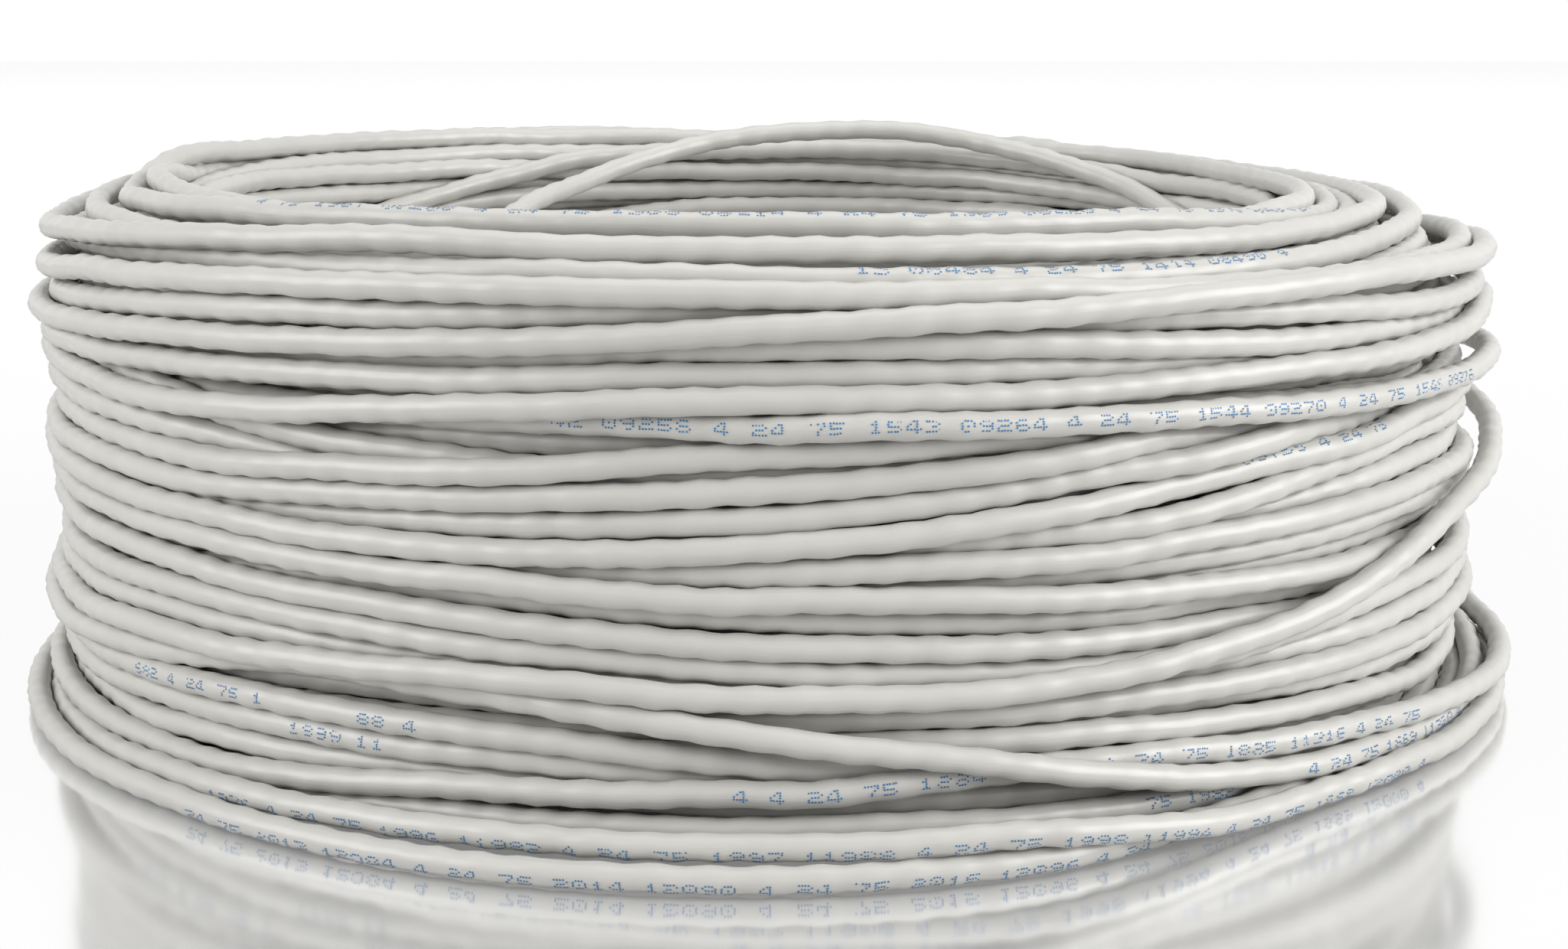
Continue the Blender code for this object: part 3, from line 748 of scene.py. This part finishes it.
def print_dots(line, begin, end, around, rng):
    """Centres and normals of the dots of one stretch of the print."""
    along = line["at"] / MM
    first, last = np.interp([begin, end], line["turned"], along)
    spots = []
    first_mark = int((line["offset"] + first) // MARK_EVERY)
    last_mark = int((line["offset"] + last) // MARK_EVERY)
    for mark in range(first_mark, last_mark + 1):
        text = MARK % (mark * MARK_EVERY / 10, mark % MARK_COUNT)
        for place, digit in enumerate(text):
            start = mark * MARK_EVERY - line["offset"] + DIGIT_PITCH * place * DOT_PITCH
            if digit == " " or start < first or start + DIGIT_DOTS * DOT_PITCH > last:
                continue
            for row, bits in enumerate(DIGITS[int(digit)].split()):
                for column, bit in enumerate(bits):
                    if bit == "1" and rng.random() > DOTS_MISSED:
                        s = start + column * DOT_PITCH + rng.normal(0, DOT_DRIFT)
                        angle = math.radians(around) + (MIDDLE_ROW - row) * DOT_ROW / HALF
                        spots.append((s, angle + rng.normal(0, DOT_TWIST)))
    s, angle = np.array(spots).T
    at = [np.interp(s, along, line["points"][:, i]) for i in range(3)]
    out = np.stack([np.interp(s, along, line["out"][:, i]) for i in range(3)], 1)
    up = np.stack([np.interp(s, along, line["up"][:, i]) for i in range(3)], 1)
    normal = out * np.cos(angle)[:, None] + up * np.sin(angle)[:, None]
    size = HALF + jacket_relief(s + line["offset"], angle) + DOT_PROUD
    return np.stack(at, 1) + normal * size[:, None] * MM, normal


def dot_tree():
    """Sets a flat dot of ink on every point, facing along the point's own normal."""
    tree = bpy.data.node_groups.new("ink_dots", "GeometryNodeTree")
    face = tree.interface
    face.new_socket(name="Points", socket_type="NodeSocketGeometry", in_out="INPUT")
    face.new_socket(name="Dot radius", socket_type="NodeSocketFloat", in_out="INPUT")
    face.new_socket(name="Dots", socket_type="NodeSocketGeometry", in_out="OUTPUT")
    nodes, link = tree.nodes, tree.links.new
    given = add(nodes, "NodeGroupInput")
    result = add(nodes, "NodeGroupOutput")
    circle = add(nodes, "GeometryNodeMeshCircle", fill_type="NGON")
    circle.inputs["Vertices"].default_value = DOT_SIDES
    link(given.outputs["Dot radius"], circle.inputs["Radius"])
    facing = add(nodes, "GeometryNodeInputNamedAttribute", data_type="FLOAT_VECTOR")
    facing.inputs["Name"].default_value = "facing"
    align = add(nodes, "FunctionNodeAlignRotationToVector", axis="Z")
    link(facing.outputs["Attribute"], align.inputs["Vector"])
    place = add(nodes, "GeometryNodeInstanceOnPoints")
    link(given.outputs["Points"], place.inputs["Points"])
    link(circle.outputs["Mesh"], place.inputs["Instance"])
    link(align.outputs["Rotation"], place.inputs["Rotation"])
    real = add(nodes, "GeometryNodeRealizeInstances")
    link(place.outputs["Instances"], real.inputs["Geometry"])
    paint = add(nodes, "GeometryNodeSetMaterial")
    paint.inputs["Material"].default_value = INK
    link(real.outputs["Geometry"], paint.inputs["Geometry"])
    link(paint.outputs["Geometry"], result.inputs["Dots"])
    return tree


DOTS = dot_tree()


def make_print(name, line, turns):
    """The print on one length of cable, as flat dots just proud of the jacket."""
    rng = np.random.default_rng(len(name) + turns[0])
    spots, normals = [], []
    for turn, begin, end, around in PRINTED:
        index = TURN_NAMES.index(turn)
        if turns[0] <= index <= turns[1]:
            spot, normal = print_dots(line, 360 * index + begin, 360 * index + end, around, rng)
            spots.append(spot)
            normals.append(normal)
    if not spots:
        return []
    spots, normals = np.concatenate(spots), np.concatenate(normals)
    mesh = bpy.data.meshes.new(name)
    mesh.from_pydata(spots.tolist(), [], [])
    facing = mesh.attributes.new("facing", "FLOAT_VECTOR", "POINT")
    facing.data.foreach_set("vector", normals.astype(np.float32).ravel())
    seed = bpy.data.objects.new(name + "_points", mesh)
    bpy.context.scene.collection.objects.link(seed)
    modifier = seed.modifiers.new("dots", "NODES")
    modifier.node_group = DOTS
    for item in DOTS.interface.items_tree:
        if item.name == "Dot radius":
            modifier[item.identifier] = DOT / 2 * MM
    graph = bpy.context.evaluated_depsgraph_get()
    made = bpy.data.meshes.new_from_object(seed.evaluated_get(graph))
    bpy.data.objects.remove(seed)
    piece = bpy.data.objects.new(name, made)
    bpy.context.scene.collection.objects.link(piece)
    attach(piece, "root")
    return [piece]


# ---------------------------------------------------------------- the cable's pieces

# Lengths the cable is made in: name, first turn, last turn, whether it shows, CAD nodes it replaces
SECTIONS = (
    ("cable_eye_top", 0, 9, True, ("arch_strand",)),
    ("cable_eye_foot", 10, 19, True, ("inner_windings",)),
    ("cable_column_2", 20, 35, False, ()),
    ("cable_column_2_top", 36, 38, True, ()),
    ("cable_column_3_top", 39, 41, True, ()),
    ("cable_column_3", 42, 57, False, ()),
    ("cable_column_4", 58, 73, False, ()),
    ("cable_column_4_top", 74, 77, True, ()),
    ("cable_column_5", 78, 93, False, ()),
    ("cable_column_5_top", 94, 95, True, ()),
    ("cable_rim", 96, 101, True, ()),
    ("cable_outer_1", 102, 107, True, ("outer_windings",)),
    ("cable_outer_2", 108, 114, True, ("printed_turn",)),
    ("cable_outer_3", 115, 121, True, ()),
    ("cable_outer_4", 122, 128, True, ("side_loop", "crossing_strand")),
    ("cable_outer_5", 129, 137, True, ("base_turn", "second_turn")),
)


def make_cable():
    """The cable from its inner to its outer end, in lengths that meet at the back of the coil."""
    total = len(TURN_NAMES) - 1
    offset = 0.0
    for name, first, last, fine, stands_for in SECTIONS:
        begin = START if first == 0 else 360 * first - 180
        end = 360 * total + LAST if last == total else 360 * last + 180
        line = run(begin, end, fine, offset)
        piece = tube(name, line)
        marks = make_print(name.replace("cable", "print"), line, (first, last))
        offset += line["at"][-1] / MM
        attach(piece, "root")
        if stands_for:
            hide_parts(*stands_for)


make_cable()

# ---------------------------------------------------------------- floor, light

FLOOR_SIZE = 6.0  # from the middle to an edge, m
FLOOR_DROP = 0.0003  # keeps the floor's face clear of the coil's foot, m
MIRRORED = 0.73  # share of the floor's look that is the mirror image
SHADE = 0.35  # share of the rest that takes the coil's shadow, at the coil
SHADE_REACH = (0.2, 0.6)  # the shadow fades out between these distances from the axis, m
WORLD_LEVEL = 0.22  # light from all round, where 1 is white

# Soft boxes: name, place in m, power in W
LAMPS = (
    ("overhead", (0.0, 0.1, 1.2), 6),
    ("left", (-1.43, -0.72, 0.75), 25),
    ("right", (1.5, -0.58, 0.75), 35),
)
LAMP_SIZE = 1.2  # m
LAMP_AIM = (0, 0, 0.05)


def floor_material():
    """Glossy white: it mirrors the coil, and its shadow fades into the white background."""
    material = bpy.data.materials.new("floor")
    material.use_nodes = True
    tree = material.node_tree
    nodes, link = tree.nodes, tree.links.new
    nodes.clear()
    place = add(nodes, "ShaderNodeTexCoord")
    shift = add(nodes, "ShaderNodeVectorMath", operation="SUBTRACT")
    shift.inputs[1].default_value = AXIS
    link(place.outputs["Object"], shift.inputs[0])
    away = add(nodes, "ShaderNodeVectorMath", operation="LENGTH")
    link(shift.outputs["Vector"], away.inputs[0])
    glossy = add(nodes, "ShaderNodeBsdfGlossy")
    glossy.inputs["Color"].default_value = (1, 1, 1, 1)
    glossy.inputs["Roughness"].default_value = 0.12
    white = add(nodes, "ShaderNodeEmission")
    diffuse = add(nodes, "ShaderNodeBsdfDiffuse")
    diffuse.inputs["Color"].default_value = (0.7, 0.7, 0.7, 1)
    shade = add(nodes, "ShaderNodeMapRange")
    shade.inputs["From Min"].default_value = SHADE_REACH[0]
    shade.inputs["From Max"].default_value = SHADE_REACH[1]
    shade.inputs["To Min"].default_value = SHADE
    shade.inputs["To Max"].default_value = 0.0
    link(away.outputs["Value"], shade.inputs["Value"])
    veil = add(nodes, "ShaderNodeMixShader")
    link(shade.outputs[0], veil.inputs[0])
    link(white.outputs[0], veil.inputs[1])
    link(diffuse.outputs[0], veil.inputs[2])
    mirror = add(nodes, "ShaderNodeMixShader")
    mirror.inputs[0].default_value = MIRRORED
    link(veil.outputs[0], mirror.inputs[1])
    link(glossy.outputs[0], mirror.inputs[2])
    path = add(nodes, "ShaderNodeLightPath")
    choose = add(nodes, "ShaderNodeMixShader")
    link(path.outputs["Is Camera Ray"], choose.inputs[0])
    link(diffuse.outputs[0], choose.inputs[1])
    link(mirror.outputs[0], choose.inputs[2])
    out = add(nodes, "ShaderNodeOutputMaterial")
    link(choose.outputs[0], out.inputs["Surface"])
    return material


def make_floor():
    """A plain floor far wider than the view."""
    mesh = bpy.data.meshes.new("floor")
    square = ((-1, -1), (1, -1), (1, 1), (-1, 1))
    corners = [(x * FLOOR_SIZE, y * FLOOR_SIZE, -FLOOR_DROP) for x, y in square]
    mesh.from_pydata(corners, [], [(0, 1, 2, 3)])
    mesh.materials.append(floor_material())
    floor = bpy.data.objects.new("floor", mesh)
    bpy.context.scene.collection.objects.link(floor)


def make_lamps():
    """Square soft boxes, all turned to the coil."""
    for name, place, power in LAMPS:
        data = bpy.data.lights.new(name, "AREA")
        data.shape = "RECTANGLE"
        data.size = LAMP_SIZE
        data.size_y = LAMP_SIZE
        data.energy = power
        lamp = bpy.data.objects.new(name, data)
        lamp.location = place
        lamp.rotation_mode = "QUATERNION"
        lamp.rotation_quaternion = (Vector(LAMP_AIM) - Vector(place)).to_track_quat("-Z", "Y")
        bpy.context.scene.collection.objects.link(lamp)


def make_world():
    """White where it is seen, straight or in a gloss, and a low even light on the coil."""
    world = bpy.data.worlds.new("world")
    bpy.context.scene.world = world
    world.use_nodes = True
    tree = world.node_tree
    nodes, link = tree.nodes, tree.links.new
    nodes.clear()
    path = add(nodes, "ShaderNodeLightPath")
    in_gloss = add(nodes, "ShaderNodeMath", operation="MAXIMUM")
    link(path.outputs["Is Camera Ray"], in_gloss.inputs[0])
    link(path.outputs["Is Glossy Ray"], in_gloss.inputs[1])
    in_glass = add(nodes, "ShaderNodeMath", operation="MAXIMUM")
    link(in_gloss.outputs[0], in_glass.inputs[0])
    link(path.outputs["Is Transmission Ray"], in_glass.inputs[1])
    level = add(nodes, "ShaderNodeMapRange")
    level.inputs["To Min"].default_value = WORLD_LEVEL
    level.inputs["To Max"].default_value = 1.0
    link(in_glass.outputs[0], level.inputs["Value"])
    back = add(nodes, "ShaderNodeBackground")
    back.inputs["Color"].default_value = (1, 1, 1, 1)
    link(level.outputs[0], back.inputs["Strength"])
    out = add(nodes, "ShaderNodeOutputWorld")
    link(back.outputs[0], out.inputs["Surface"])


make_floor()
make_lamps()
make_world()
bpy.context.scene.view_settings.view_transform = "Standard"
